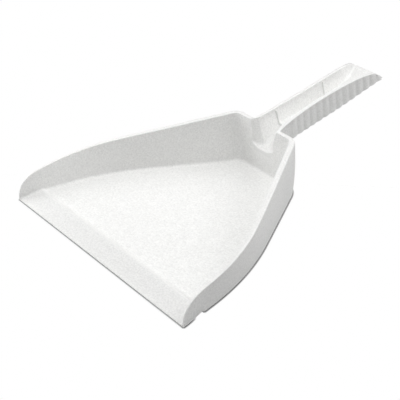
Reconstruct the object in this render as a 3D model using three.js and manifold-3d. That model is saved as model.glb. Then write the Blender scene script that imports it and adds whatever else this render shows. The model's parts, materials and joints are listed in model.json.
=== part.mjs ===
// Hand dust pan, moulded in one piece: a tapered tray with a ramped lip, a rolled rim that turns
// down into an outer skirt, and a trough-shaped handle with fluted sides.
// Millimetres, +Z up, +Y from the lip to the handle. The shapes are laid out from the lip, at Y = 0, and
// the group then puts the origin on the ground under the middle of the overall length.
// The moulding is divided at its natural edges, so that each region is one simple named body.
import * as THREE from "three";
import { mergeVertices } from "three/addons/utils/BufferGeometryUtils.js";
import Module from "manifold-3d";

const wasm = await Module();
wasm.setup();

// ---- Driving dimensions -------------------------------------------------------------------------
const LIP_WIDTH = 305; // 12 inches, the usual size of a hand dust pan
const WALL = 2.4; // thickness of the moulded wall
const LIP_EDGE = 1.0; // thickness of the lip's scraping edge
const LIP_WALL = 2.5; // from the lip's corner to the floor beside it
const JOINT_GAP = 0.3; // gap between two neighbouring regions

const FLOOR_TOP = 3.0; // the tray's floor is this thick and lies on the ground
const LIP_STRIP = 6; // flat strip behind the scraping edge
const LIP_STRIP_RISE = 0.6;
const RAMP_END = 29; // crest of the ramp
const RAMP_HEIGHT = 6.6;
const STEP_END = 32; // foot of the step behind the crest
const CREST_LAND = 0.6; // the step's underside starts this far ahead of the crest, and ends this far ahead
const STEP_LAND = 0.4; // of its foot

const RIM_START = 1.4; // rim height at the lip's corner
const RIM_NOSE_RUN = 30; // the rim's steep rounded nose
const RIM_NOSE_RISE = 26.5;
const RIM_NOSE_POWER = 2.4;
const RIM_SLOPE = 0.157; // steady climb of the rim to the back
const RIM_LAND = 0.8; // flat on top of the rim, inside the shoulder, at the lip and on the handle
const RIM_LAND_BACK = 2.6; // and at the tray's back
const SHOULDER_FRONT = 0.9; // radius of the rolled shoulder at the lip and at the back
const SHOULDER_BACK = 4.0;
const SHOULDER_GROWS = [20, 200]; // places between which the land and the shoulder grow
const SHOULDER_DROP = 1.5; // the shoulder is flattened to this height
const SKIRT_BULGE = 1.6; // how far the outer skirt swells between the rim and the ground
const BULGE_GROWS = [60, 180];

// Plan of the tray, right half. The sides run in a little, bend, and taper to the back wall.
const BEND_START = 44;
const HALF_LIP = LIP_WIDTH / 2;
const RIM_PLAN = {
  front: [HALF_LIP - SHOULDER_FRONT, 0], kink: [143.9, 89.4], corner: [47.6, 262.6], bendEnd: 135, round: 8,
};
const SKIRT_PLAN = {
  front: [HALF_LIP, 0], kink: [139.6, 105], corner: [53, 268.5], bendEnd: 160, round: 22,
};
const FLOOR_PLAN = {
  front: [HALF_LIP - LIP_WALL, 0], kink: [131.6, 105.3], corner: [36, 261], bendEnd: 155, round: 4,
};

// Handle, as [place along the length, half width or height].
const HANDLE_START = 262; // it leaves the back wall here
const HANDLE_END = 458;
const GRIP_START = 292; // where the straight, fluted grip begins
const HANDLE_HALF = [
  [245, 21.3], [HANDLE_START, 21], [272, 18], [GRIP_START, 15.6],
  [345, 13.4], [395, 14.6], [435, 17.8], [HANDLE_END, 20],
];
const HANDLE_RIM = [
  [245, 66.5], [HANDLE_START, 68.5], [300, 75.2], [345, 81.8], [390, 86.9],
  [425, 89.2], [440, 88], [451, 83], [HANDLE_END, 77.8],
];
const HANDLE_BELLY = [
  [245, 12], [268, 24], [GRIP_START, 46], [335, 50.5], [390, 59], [430, 69], [HANDLE_END, 76],
];
const HANDLE_SHOULDER = 3.4; // radius of the rolled shoulder beside the trough
const HANDLE_BULGE = 1.6; // how much wider the grip is at its belly
// The trough is a deep V with a narrow floor. It starts as a doorway in the back wall.
const TROUGH_FLOOR = [
  [248, 30], [262, 34], [282, 47], [296, 55], [345, 61.5],
  [400, 68.5], [430, 77], [452, 82.2], [HANDLE_END, 78.6],
];
const TROUGH_HALF = [
  [248, 3.2], [262, 3.2], [282, 4.2], [296, 5], [420, 5.5], [445, 14], [HANDLE_END, 18],
];
const MOUTH_ROUND = 6; // rounding of the doorway's edge
const TROUGH_PLACES = [
  248, 258, 260, 261, 262.5, 264, 266, 270, 276, 282, 289, 296, 310,
  330, 350, 370, 390, 410, 422, 432, 440, 447, 453,
];
const TROUGH_ROUND = 2.5; // rounding of the trough's bottom corners
const HOLLOW_END = 440; // the grip is hollow below the trough up to here
const FLUTE_PITCH = 12;
const FLUTE_DEPTH = 1.5;
const FLUTE_COUNT = 14;
const FLUTE_LEAN = 0.16; // the flutes stand square to the rising grip
const TROUGH_RIBS = [295.5, 379.5]; // two low ribs across the trough
const RIB_THICK = 1.8;
const RIB_HIGH = 1.6;
const RIB_ROOT = 1; // the ribs reach this far into the trough's wall

const PLASTIC = { color: 0xe9eae6, roughness: 0.45, metalness: 0 };

// Regions: the side walls end at the rear corners, the throat starts behind the tray's rear skirt.
const SIDE_END = 246;
const REAR_END = 271;
const THROAT_END = 288;
const TIP_START = 440;
const HALF_GAP = JOINT_GAP / 2;

// Reach of the cutting bodies beyond what they cut.
const AHEAD = 6; // ahead of the lip
const BELOW = 4; // below the ground
const ABOVE = 12; // above the rim
const WIDE = 200; // further out than the part reaches
const FAR = 600; // further back than the part reaches

// ---- Small helpers ------------------------------------------------------------------------------
const lerp = THREE.MathUtils.lerp;
const clamp = THREE.MathUtils.clamp;
const smooth = THREE.MathUtils.smoothstep;

// Piecewise curve through [place, value] pairs, without overshoot between them.
function blend(pairs, place) {
  const last = pairs.length - 1;
  if (place <= pairs[0][0]) return pairs[0][1];
  if (place >= pairs[last][0]) return pairs[last][1];
  const i = pairs.findIndex(([at]) => at > place) - 1;
  const slope = (a, b) => (pairs[b][1] - pairs[a][1]) / (pairs[b][0] - pairs[a][0]);
  const tangent = (j) => {
    if (j === 0) return slope(0, 1);
    if (j === last) return slope(last - 1, last);
    const before = slope(j - 1, j);
    const after = slope(j, j + 1);
    return before * after <= 0 ? 0 : (2 * before * after) / (before + after);
  };
  const run = pairs[i + 1][0] - pairs[i][0];
  const t = (place - pairs[i][0]) / run;
  const t2 = t * t;
  const t3 = t2 * t;
  return (2 * t3 - 3 * t2 + 1) * pairs[i][1] + (t3 - 2 * t2 + t) * run * tangent(i)
    + (3 * t2 - 2 * t3) * pairs[i + 1][1] + (t3 - t2) * run * tangent(i + 1);
}

// A closed body through symmetric sections. Each section lists the points of its right side from
// bottom to top, and its left side mirrors them in X.
function loft(sections) {
  const side = sections[0].length;
  const ring = 2 * side;
  const position = [];
  for (const section of sections) {
    for (const [x, y, z] of section) position.push(x, y, z);
    for (const [x, y, z] of [...section].reverse()) position.push(-x, y, z);
  }
  const index = [];
  const quad = (a, b, c, d) => index.push(a, b, c, a, c, d);
  for (let s = 0; s + 1 < sections.length; s += 1) {
    for (let k = 0; k < ring; k += 1) {
      const next = (k + 1) % ring;
      quad(s * ring + k, (s + 1) * ring + k, (s + 1) * ring + next, s * ring + next);
    }
  }
  const end = (sections.length - 1) * ring;
  for (let k = 0; k + 1 < side; k += 1) {
    quad(k, k + 1, ring - 2 - k, ring - 1 - k);
    quad(end + k, end + ring - 1 - k, end + ring - 2 - k, end + k + 1);
  }
  const geometry = new THREE.BufferGeometry();
  geometry.setAttribute("position", new THREE.Float32BufferAttribute(position, 3));
  geometry.setIndex(index);
  return solid(geometry);
}

function solid(geometry) {
  const bare = geometry.clone();
  bare.deleteAttribute("normal");
  bare.deleteAttribute("uv");
  const merged = mergeVertices(bare, 1e-4);
  return new wasm.Manifold(new wasm.Mesh({
    numProp: 3,
    vertProperties: new Float32Array(merged.attributes.position.array),
    triVerts: new Uint32Array(merged.index.array),
  }));
}

// An axis-aligned block from its lowest to its highest corner.
function block(low, high) {
  const size = high.map((value, i) => value - low[i]);
  const box = new THREE.BoxGeometry(...size);
  box.translate(...low.map((value, i) => value + size[i] / 2));
  return solid(box);
}

// ---- Tray: plan and heights -----------------------------------------------------------------------
// One half of a plan outline as a path: side, bend, taper, rounded corner, back wall to the middle.
function planPath({ front, kink, corner, bendEnd, round }) {
  const along = (a, b, y) => lerp(a[0], b[0], (y - a[1]) / (b[1] - a[1]));
  const taper = new THREE.Vector2(kink[0] - corner[0], kink[1] - corner[1]).normalize();
  const path = new THREE.Path();
  path.moveTo(...front);
  path.lineTo(along(front, kink, BEND_START), BEND_START);
  path.quadraticCurveTo(...kink, along(kink, corner, bendEnd), bendEnd);
  path.lineTo(corner[0] + taper.x * round, corner[1] + taper.y * round);
  path.quadraticCurveTo(...corner, corner[0] - round, corner[1]);
  path.lineTo(1, corner[1]);
  return path;
}

// Shares of each of the path's five stretches. The first is packed towards the nose and holds the
// lip strip, the crest and the foot of the step.
const NOSE = [0, 0.7, 2, 4, LIP_STRIP, 9.5, 14, 20, RAMP_END, STEP_END, 37].map((y) => y / BEND_START);
const even = (count) => Array.from({ length: count }, (_, i) => i / count);
const STRETCHES = [NOSE, even(8), even(7), even(4), even(2)];

function planPoints(plan) {
  const { curves } = planPath(plan);
  const points = curves.flatMap((curve, i) => STRETCHES[i].map((t) => curve.getPoint(t)));
  points.push(curves[curves.length - 1].getPoint(1));
  return points;
}

const rimPlan = planPoints(RIM_PLAN);
const skirtPlan = planPoints(SKIRT_PLAN);
const floorPlan = planPoints(FLOOR_PLAN);
const outward = rimPlan.map((_, i) => {
  const before = rimPlan[Math.max(i - 1, 0)];
  const after = rimPlan[Math.min(i + 1, rimPlan.length - 1)];
  return new THREE.Vector2(after.y - before.y, before.x - after.x).normalize();
});

function rimHeight(y) {
  const nose = 1 - (1 - clamp(y / RIM_NOSE_RUN, 0, 1)) ** RIM_NOSE_POWER;
  return RIM_START + RIM_NOSE_RISE * nose ** (1 / RIM_NOSE_POWER) + RIM_SLOPE * y;
}

function floorHeight(y) {
  const strip = LIP_EDGE + LIP_STRIP_RISE;
  if (y <= LIP_STRIP) return lerp(LIP_EDGE, strip, clamp(y / LIP_STRIP, 0, 1));
  if (y <= RAMP_END) return lerp(strip, RAMP_HEIGHT, (y - LIP_STRIP) / (RAMP_END - LIP_STRIP));
  return lerp(RAMP_HEIGHT, FLOOR_TOP, clamp((y - RAMP_END) / (STEP_END - RAMP_END), 0, 1));
}

function shoulder(y) {
  const radius = lerp(SHOULDER_FRONT, SHOULDER_BACK, smooth(y, ...SHOULDER_GROWS));
  return Math.min(radius, rimHeight(y) / 3);
}

const land = (y) => lerp(RIM_LAND, RIM_LAND_BACK, smooth(y, ...SHOULDER_GROWS));

const ROUND_STEPS = [0, 30, 60, 90].map(THREE.MathUtils.degToRad);
const NEAR_MIDDLE = 0.5; // the back wall's last points stay this far from their mirror images
const aheadOf = (section) => section.map(([x, , z]) => [x, -AHEAD, z]);

// Section of the tray's outside: skirt, rolled shoulder, rim. inset makes it smaller all over.
function outerSection(i, inset) {
  const rim = rimPlan[i];
  const n = outward[i];
  const height = rimHeight(rim.y);
  const radius = shoulder(rim.y);
  const drop = Math.min(radius, SHOULDER_DROP);
  const foot = skirtPlan[i];
  const points = [];
  const place = (x, y, z) => points.push([Math.max(x - n.x * inset, NEAR_MIDDLE), y - n.y * inset, z]);
  const low = inset > 0 ? -BELOW : 0;
  for (const share of [0, 0.35, 0.7]) {
    const swell = SKIRT_BULGE * 4 * share * (1 - share) * smooth(rim.y, ...BULGE_GROWS);
    const x = lerp(foot.x, rim.x + n.x * radius, share) + n.x * swell;
    const y = lerp(foot.y, rim.y + n.y * radius, share) + n.y * swell;
    place(x, y, lerp(low, Math.max(height - drop - inset, low + 1), share));
  }
  for (const angle of ROUND_STEPS) {
    const out = radius * Math.cos(angle);
    const z = height - drop * (1 - Math.sin(angle)) - inset;
    place(rim.x + n.x * out, rim.y + n.y * out, Math.max(z, low + 1 + 0.2 * angle));
  }
  return points;
}

// Section of the tray's inside, from the floor to a little above the rim. grow makes it wider, and
// takes it down through the floor.
function innerSection(i, grow) {
  const rim = rimPlan[i];
  const n = outward[i];
  const top = rimHeight(rim.y);
  const foot = floorPlan[i];
  const bottom = grow > 0 ? -BELOW : floorHeight(foot.y);
  const back = land(rim.y);
  const across = (share) => [
    Math.max(lerp(foot.x, rim.x - n.x * back, share) + n.x * grow, NEAR_MIDDLE),
    lerp(foot.y, rim.y - n.y * back, share) + n.y * grow,
  ];
  return [[...across(0), bottom], [...across(1), top], [...across(1), top + ABOVE]];
}

function trayOutside(inset) {
  return loft(rimPlan.map((_, i) => outerSection(i, inset)));
}

function trayInside(grow) {
  const sections = rimPlan.map((_, i) => innerSection(i, grow));
  return loft([aheadOf(sections[0]), ...sections]);
}

// ---- Handle ---------------------------------------------------------------------------------------
function flute(y, z) {
  const along = y + (z - blend(HANDLE_BELLY, y)) * FLUTE_LEAN - GRIP_START;
  const inside = along > 0 && along < FLUTE_PITCH * FLUTE_COUNT;
  return inside ? FLUTE_DEPTH * (Math.abs(Math.sin((Math.PI * along) / FLUTE_PITCH)) - 1) : -FLUTE_DEPTH;
}

function handleOuterSection(y, inset) {
  const half = blend(HANDLE_HALF, y);
  const top = blend(HANDLE_RIM, y) - inset;
  const belly = blend(HANDLE_BELLY, y) - (inset > 0 ? BELOW : 0);
  const radius = Math.min(HANDLE_SHOULDER, (top - belly) / 2.2);
  const drop = Math.min(radius, SHOULDER_DROP);
  const points = [];
  for (const share of [0, 0.5, 1]) {
    const z = lerp(belly, top - drop, share);
    const fluted = inset > 0 ? 0 : flute(y, z) * (1 - 0.75 * share);
    const bulge = HANDLE_BULGE * (1 - share);
    points.push([half + HANDLE_SHOULDER + bulge + fluted - inset, y, z]);
  }
  for (const angle of ROUND_STEPS.slice(1)) {
    const out = half + HANDLE_SHOULDER - radius + radius * Math.cos(angle);
    points.push([out - inset, y, top - drop * (1 - Math.sin(angle))]);
  }
  return points;
}

// How far the doorway is widened at a place behind the back wall's face.
function flare(y) {
  const face = RIM_PLAN.corner[1] - RIM_LAND_BACK;
  const left = clamp((face + MOUTH_ROUND - y) / MOUTH_ROUND, 0, 1);
  return MOUTH_ROUND * (1 - Math.sqrt(1 - left * left));
}

function troughSection(y, grow, above) {
  const top = blend(HANDLE_RIM, y);
  const low = blend(TROUGH_FLOOR, y) - grow - flare(y);
  const half = blend(HANDLE_HALF, y) - RIM_LAND + grow + flare(y) / 2;
  const base = blend(TROUGH_HALF, y) + grow * 0.6 + flare(y) / 2;
  const rise = Math.min(TROUGH_ROUND, (top - low) / 4);
  return [
    [Math.min(base * 0.6, half), y, low],
    [Math.min(base, half), y, low + Math.max(rise * 0.35, 0.02)],
    [Math.min(base + 1.2, half), y, low + Math.max(rise, 0.05)],
    [half, y, Math.max(top, low + 0.1)],
    [half, y, Math.max(top, low + 0.1) + above],
  ];
}

const handlePlaces = [];
for (let y = TROUGH_PLACES[0]; y < GRIP_START; y += 6) handlePlaces.push(y);
for (let i = 0; i <= FLUTE_COUNT * 4; i += 1) {
  const y = GRIP_START + (i * FLUTE_PITCH) / 4;
  if (y < HANDLE_END) handlePlaces.push(y);
}
handlePlaces.push(HANDLE_END);

const handleOutside = loft(handlePlaces.map((y) => handleOuterSection(y, 0)));
const hollowPlaces = TROUGH_PLACES.filter((y) => y <= HOLLOW_END);
const handleHollow = loft(hollowPlaces.map((y) => handleOuterSection(y, WALL)));
const trough = loft([...TROUGH_PLACES, HANDLE_END + AHEAD].map((y) => troughSection(y, 0, ABOVE)));
const troughShell = loft(hollowPlaces.slice(1).map((y) => troughSection(y, WALL, 0)));

// ---- The moulding ---------------------------------------------------------------------------------
// Wedge of air under the ramp. It runs out past both sides, so the skirts are stepped there too.
function underRamp() {
  const profile = new THREE.Shape();
  profile.moveTo(LIP_STRIP, -BELOW);
  profile.lineTo(LIP_STRIP, 0);
  profile.lineTo(RAMP_END - CREST_LAND, RAMP_HEIGHT - WALL);
  profile.lineTo(STEP_END - STEP_LAND, 0);
  profile.lineTo(STEP_END - STEP_LAND, -BELOW);
  const wedge = new THREE.ExtrudeGeometry(profile, { depth: 2 * WIDE, bevelEnabled: false });
  wedge.rotateX(Math.PI / 2); // the profile's height becomes Z
  wedge.rotateZ(Math.PI / 2); // its length becomes Y and the extrusion runs along X
  wedge.translate(-WIDE, 0, 0);
  return solid(wedge);
}

function troughRib(y) {
  const band = block([-WIDE, y - RIB_THICK / 2, 0], [WIDE, y + RIB_THICK / 2, WIDE]);
  const near = (reach) => [y - reach, y + reach];
  const outer = loft(near(RIB_THICK).map((place) => troughSection(place, RIB_ROOT, 0)));
  const inner = loft(near(2 * RIB_THICK).map((place) => troughSection(place, -RIB_HIGH, ABOVE)));
  return outer.subtract(inner).intersect(band);
}

const trayShell = trayInside(WALL);
const hollow = trayOutside(WALL).add(handleHollow).subtract(trayShell).subtract(troughShell);
const behindTray = block([-WIDE, RIM_PLAN.corner[1] - WALL / 2, -BELOW], [WIDE, FAR, WIDE]);
let moulding = trayOutside(0)
  .add(handleOutside)
  .add(troughShell.intersect(behindTray))
  .subtract(trayInside(0))
  .subtract(trough)
  .subtract(hollow)
  .subtract(underRamp());
for (const y of TROUGH_RIBS) moulding = moulding.add(troughRib(y));

// ---- Regions --------------------------------------------------------------------------------------
// Upright prism over the tray's floor outline.
function floorPrism(grow) {
  const upright = (point, n) => {
    const x = Math.max(point.x + n.x * grow, NEAR_MIDDLE);
    const y = point.y + n.y * grow;
    return [[x, y, -BELOW], [x, y, RAMP_HEIGHT + 2 * WALL]];
  };
  const sections = floorPlan.map((point, i) => upright(point, outward[i]));
  return loft([aheadOf(sections[0]), ...sections]);
}

const span = (from, to) => block([-WIDE, from + HALF_GAP, -BELOW], [WIDE, to - HALF_GAP, WIDE]);
const half = {
  left: block([-WIDE, -AHEAD, -BELOW], [-HALF_GAP, FAR, WIDE]),
  right: block([HALF_GAP, -AHEAD, -BELOW], [WIDE, FAR, WIDE]),
};
const floorRegion = moulding.intersect(floorPrism(-HALF_GAP));
const around = moulding.subtract(floorPrism(HALF_GAP));

const regions = {
  lip_ramp: floorRegion.intersect(span(-AHEAD, STEP_END)),
  floor_panel: floorRegion.intersect(span(STEP_END, REAR_END)),
  grip_tip: around.intersect(span(TIP_START, FAR)),
};
for (const side of ["left", "right"]) {
  const kept = around.intersect(half[side]);
  regions[`${side}_wall`] = kept.intersect(span(-AHEAD, SIDE_END));
  regions[`rear_wall_${side}`] = kept.intersect(span(SIDE_END, REAR_END));
  regions[`throat_${side}`] = kept.intersect(span(REAR_END, THROAT_END));
  regions[`grip_${side}`] = kept.intersect(span(THROAT_END, TIP_START));
}

// The largest body of a region, as a named mesh. Slivers that the cuts leave behind are dropped.
function meshOf(name, body) {
  const largest = body.decompose().sort((a, b) => b.volume() - a.volume())[0];
  const made = largest.getMesh();
  const geometry = new THREE.BufferGeometry();
  geometry.setAttribute("position", new THREE.Float32BufferAttribute(made.vertProperties, 3));
  geometry.setIndex(new THREE.Uint32BufferAttribute(made.triVerts, 1));
  geometry.computeVertexNormals();
  const mesh = new THREE.Mesh(geometry, new THREE.MeshStandardMaterial(PLASTIC));
  mesh.name = name;
  return mesh;
}

const dustPan = new THREE.Group();
for (const [name, body] of Object.entries(regions)) dustPan.add(meshOf(name, body));
dustPan.position.y = -HANDLE_END / 2;

export default dustPan;
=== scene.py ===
"""Hand dust pan, moulded in one piece of white plastic.

The pan is one seamless moulding, so it is built as one piece that stands for all the frame's regions. Its
tray, rolled rim, skirts and trough handle are lofted with their real fillets, joined and hollowed, and then
given a fine-grained moulded plastic. Shapes are laid out in millimetres, with the lip at Y = 0 and the
ground at Z = 0.
"""

import json
import logging
import math
from collections.abc import Sequence
from dataclasses import dataclass, field
from enum import Enum
from itertools import pairwise

import bmesh
import bpy
import numpy as np
from mathutils import Matrix, Vector

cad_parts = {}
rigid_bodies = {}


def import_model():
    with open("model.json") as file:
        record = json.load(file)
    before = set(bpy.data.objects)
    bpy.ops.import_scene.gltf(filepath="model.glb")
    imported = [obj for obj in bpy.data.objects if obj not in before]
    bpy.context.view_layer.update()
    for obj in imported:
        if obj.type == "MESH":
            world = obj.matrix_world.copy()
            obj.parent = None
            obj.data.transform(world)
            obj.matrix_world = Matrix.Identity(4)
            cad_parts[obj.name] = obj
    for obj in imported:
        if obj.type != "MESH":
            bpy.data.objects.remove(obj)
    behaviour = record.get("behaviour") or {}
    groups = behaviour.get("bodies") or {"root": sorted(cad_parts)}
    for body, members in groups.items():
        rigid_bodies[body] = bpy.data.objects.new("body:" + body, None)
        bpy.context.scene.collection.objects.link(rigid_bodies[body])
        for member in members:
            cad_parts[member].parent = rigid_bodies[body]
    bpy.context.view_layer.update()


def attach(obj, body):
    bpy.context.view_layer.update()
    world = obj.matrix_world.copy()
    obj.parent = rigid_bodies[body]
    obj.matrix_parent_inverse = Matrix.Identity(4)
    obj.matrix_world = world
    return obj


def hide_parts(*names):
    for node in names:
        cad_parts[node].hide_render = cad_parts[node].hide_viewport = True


log = logging.getLogger("dust_pan")

Place = tuple[float, float]
Point = tuple[float, float, float]
Colour = tuple[float, float, float, float]
Section = list[Point]
Table = tuple[Place, ...]

MM = 0.001
WHITE: Colour = (1.0, 1.0, 1.0, 1.0)

# Sections. Lengths are in millimetres, shares are of the stretch they divide.
NEAR_MIDDLE = 0.5
LAYER = 0.01
SMALL_STEP = 0.1
MIN_SKIRT = 1.0
ROLL_POWER = 2.7
ROLL_STEPS = 8
EDGE_LIMIT = 0.2
EDGE_OUT = 0.8
EDGE_STEPS = 4
FLOOR_FILLET_STEPS = 7
TROUGH_FILLET_STEPS = 6
SKIRT_FOOT_SHARE = 0.02
FOOT_PARTS = 12
SKIRT_SHARES = (0, SKIRT_FOOT_SHARE, 0.1, 0.25, 0.4, 0.55, 0.7, 0.85)
GRIP_SHARES = (0, 0.04, 0.2, 0.4, 0.6, 0.8, 1)
WALL_SHARES = (0.25, 0.5, 0.75)
TROUGH_SHARES = (0.15, 0.3, 0.45, 0.6, 0.75, 0.9)
EASE_SHIFTS = (-1, -0.75, -0.5, -0.25, 0, 0.25, 0.5, 0.75, 1)
NOSE_STATIONS = (
    0, 0.15, 0.4, 0.8, 1.3, 2, 3, 4, 5, 6, 7, 8, 10, 12, 14.5, 17, 20, 23, 25.5, 26.6, 27.4, 28.1, 28.8,
    29.5, 30.2, 30.9, 31.6, 32.3, 33, 33.7, 34.5, 36, 38, 41,
)  # fmt: skip

# Merging distances, in metres.
LOFT_MERGE = 1e-7
LOFT_SLIVER = 1e-8
MESH_MERGE = 2e-6


class Region(Enum):
    """The regions of the moulding in the frame."""

    LIP = "lip_ramp"
    FLOOR = "floor_panel"
    WALL_LEFT = "left_wall"
    WALL_RIGHT = "right_wall"
    REAR_LEFT = "rear_wall_left"
    REAR_RIGHT = "rear_wall_right"
    THROAT_LEFT = "throat_left"
    THROAT_RIGHT = "throat_right"
    GRIP_LEFT = "grip_left"
    GRIP_RIGHT = "grip_right"
    TIP = "grip_tip"


class Join(Enum):
    """How one body is combined with another."""

    ADD = "UNION"
    CUT = "DIFFERENCE"
    KEEP = "INTERSECT"


class Mask(Enum):
    """The masks stored on the mesh for the plastic."""

    TEXTURED = "textured"
    # Painted shade: this mask darkens the lip strip and ramp.
    SHADED_RAMP = "swept"
    BURNISHED = "burnished"
    WORN = "edge_wear"


# ---- Curves ----


def lerp(a: float, b: float, share: float) -> float:
    """Gives the value at a share of the way from a to b.

    Args:
        a: Value at share 0.
        b: Value at share 1.
        share: Share of the way.

    Returns:
        The value between them.
    """
    return a + (b - a) * share


def between(a: Sequence[float], b: Sequence[float], share: float) -> tuple[float, ...]:
    """Gives the point at a share of the way from a to b.

    Args:
        a: Point at share 0.
        b: Point at share 1.
        share: Share of the way.

    Returns:
        The point between them.
    """
    return tuple(lerp(p, q, share) for p, q in zip(a, b, strict=True))


def heading(a: Sequence[float], b: Sequence[float]) -> tuple[float, ...]:
    """Gives the unit direction from a to b.

    Args:
        a: Where it starts.
        b: Where it points.

    Returns:
        The direction.
    """
    run = math.dist(a, b)
    return tuple((q - p) / run for p, q in zip(a, b, strict=True))


def moved(point: Sequence[float], way: Sequence[float], distance: float) -> tuple[float, ...]:
    """Moves a point along a direction.

    Args:
        point: Where it is.
        way: The unit direction.
        distance: How far it goes.

    Returns:
        The moved point.
    """
    return tuple(p + w * distance for p, w in zip(point, way, strict=True))


def clamp(value: float, low: float = 0.0, high: float = 1.0) -> float:
    """Keeps a value between two limits.

    Args:
        value: Any number.
        low: Lowest value allowed.
        high: Highest value allowed.

    Returns:
        The value, or the limit it passed.
    """
    return max(low, min(high, value))


def smooth(value: float, low: float, high: float) -> float:
    """Rises smoothly from 0 to 1 between two places.

    Args:
        value: The place.
        low: Where the rise starts.
        high: Where it ends.

    Returns:
        A share from 0 to 1.
    """
    share = clamp((value - low) / (high - low))
    return share * share * (3 - 2 * share)


def harmonic(a: float, b: float) -> float:
    """Gives the harmonic mean of two slopes, 0 where the curve turns back.

    Args:
        a: Slope before.
        b: Slope after.

    Returns:
        The mean slope.
    """
    return 0.0 if a * b <= 0 else 2 * a * b / (a + b)


def blend(pairs: Table, place: float) -> float:
    """Reads a smooth curve through (place, value) pairs, without overshoot between them.

    Args:
        pairs: The places, rising, and their values.
        place: Where to read.

    Returns:
        The value there.
    """
    if place <= pairs[0][0]:
        return pairs[0][1]
    if place >= pairs[-1][0]:
        return pairs[-1][1]
    slopes = [(b[1] - a[1]) / (b[0] - a[0]) for a, b in pairwise(pairs)]
    tangents = [slopes[0], *(harmonic(a, b) for a, b in pairwise(slopes)), slopes[-1]]
    i = max(j for j in range(len(slopes)) if pairs[j][0] <= place)
    run = pairs[i + 1][0] - pairs[i][0]
    t = (place - pairs[i][0]) / run
    rise = (t**3 - 2 * t**2 + t) * tangents[i] + (t**3 - t**2) * tangents[i + 1]
    return lerp(pairs[i][1], pairs[i + 1][1], 3 * t**2 - 2 * t**3) + run * rise


def quadratic(a: Sequence[float], b: Sequence[float], c: Sequence[float], t: float) -> tuple[float, ...]:
    """Gives a point on the rounded corner from a to c about b.

    Args:
        a: Start of the corner.
        b: The sharp corner.
        c: End of the corner.
        t: Share of the way round.

    Returns:
        The point.
    """
    return tuple((1 - t) ** 2 * p + 2 * t * (1 - t) * q + t**2 * r for p, q, r in zip(a, b, c, strict=True))


def on_line(a: Place, b: Place, y: float) -> Place:
    """Gives the point of a plan line at a place along the pan.

    Args:
        a: A point of the line.
        b: Another point of it.
        y: Place along the pan.

    Returns:
        The point.
    """
    return (lerp(a[0], b[0], (y - a[1]) / (b[1] - a[1])), y)


def rolled() -> list[Place]:
    """Gives the rolled shoulder's profile: flat on top, then turning down quickly.

    Returns:
        Shares of the shoulder's width and height, from the outside to the top.
    """
    power = 2 / ROLL_POWER
    angles = [math.radians(90 * step / ROLL_STEPS) for step in range(ROLL_STEPS + 1)]
    return [(max(math.cos(a), 0.0) ** power, math.sin(a) ** power) for a in angles]


def even(count: int) -> list[float]:
    """Gives evenly spaced shares from 0 to just short of 1.

    Args:
        count: How many.

    Returns:
        The shares.
    """
    return [i / count for i in range(count)]


# ---- Mesh helpers ----


def deselect_all() -> None:
    """Deselects every object."""
    for other in bpy.context.view_layer.objects:
        other.select_set(False)


def use_only(piece: bpy.types.Object) -> None:
    """Selects one object alone and makes it active.

    Args:
        piece: The object to work on.
    """
    deselect_all()
    piece.select_set(True)
    bpy.context.view_layer.objects.active = piece


def new_body(name: str, points: Sequence[Point], faces: Sequence[Sequence[int]]) -> bpy.types.Object:
    """Makes a closed body of triangles whose faces point outwards.

    Args:
        name: Name of the body.
        points: Its corners, in metres. Those that coincide are merged.
        faces: The corners of each face.

    Returns:
        The body.
    """
    mesh = bpy.data.meshes.new(name)
    mesh.from_pydata(points, [], faces)
    shape = bmesh.new()
    shape.from_mesh(mesh)
    bmesh.ops.triangulate(shape, faces=shape.faces)
    bmesh.ops.remove_doubles(shape, verts=shape.verts, dist=LOFT_MERGE)
    bmesh.ops.dissolve_degenerate(shape, dist=LOFT_SLIVER, edges=shape.edges)
    bmesh.ops.recalc_face_normals(shape, faces=shape.faces)
    shape.to_mesh(mesh)
    shape.free()
    body = bpy.data.objects.new(name, mesh)
    bpy.context.scene.collection.objects.link(body)
    return body


def loft(name: str, sections: Sequence[Section]) -> bpy.types.Object:
    """Makes a closed body through symmetric sections.

    Args:
        name: Name of the body.
        sections: Right side of each section, from bottom to top. The left side mirrors it.

    Returns:
        The body.
    """
    side = len(sections[0])
    ring = 2 * side
    points = []
    for section in sections:
        points += section
        points += [(-x, y, z) for x, y, z in reversed(section)]
    faces = []
    for s in range(len(sections) - 1):
        for k in range(ring):
            after = (k + 1) % ring
            faces.append((s * ring + k, (s + 1) * ring + k, (s + 1) * ring + after, s * ring + after))
    end = (len(sections) - 1) * ring
    for k in range(side - 1):
        faces.append((k, k + 1, ring - 2 - k, ring - 1 - k))
        faces.append((end + k, end + ring - 1 - k, end + ring - 2 - k, end + k + 1))
    return new_body(name, [(x * MM, y * MM, z * MM) for x, y, z in points], faces)


def block(name: str, low: Point, high: Point) -> bpy.types.Object:
    """Makes an upright box between two corners.

    Args:
        name: Name of the body.
        low: Lowest corner.
        high: Highest corner.

    Returns:
        The body.
    """
    deselect_all()
    bpy.ops.mesh.primitive_cube_add(size=1)
    body = bpy.context.active_object
    body.name = name
    for vertex in body.data.vertices:
        corner = [big if c > 0 else small for c, small, big in zip(vertex.co, low, high, strict=True)]
        vertex.co = [MM * c for c in corner]
    return body


def combine(body: bpy.types.Object, other: bpy.types.Object, how: Join, keep: bool = False) -> None:
    """Combines another body into this one.

    Args:
        body: The body that changes.
        other: The body that is added, cut away or kept in common.
        how: Which of the three.
        keep: Whether the other body is needed again.
    """
    use_only(body)
    step = body.modifiers.new(other.name, "BOOLEAN")
    step.operation = how.value
    step.solver = "MANIFOLD"
    step.object = other
    bpy.ops.object.modifier_apply(modifier=step.name)
    if not keep:
        bpy.data.objects.remove(other)


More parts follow.
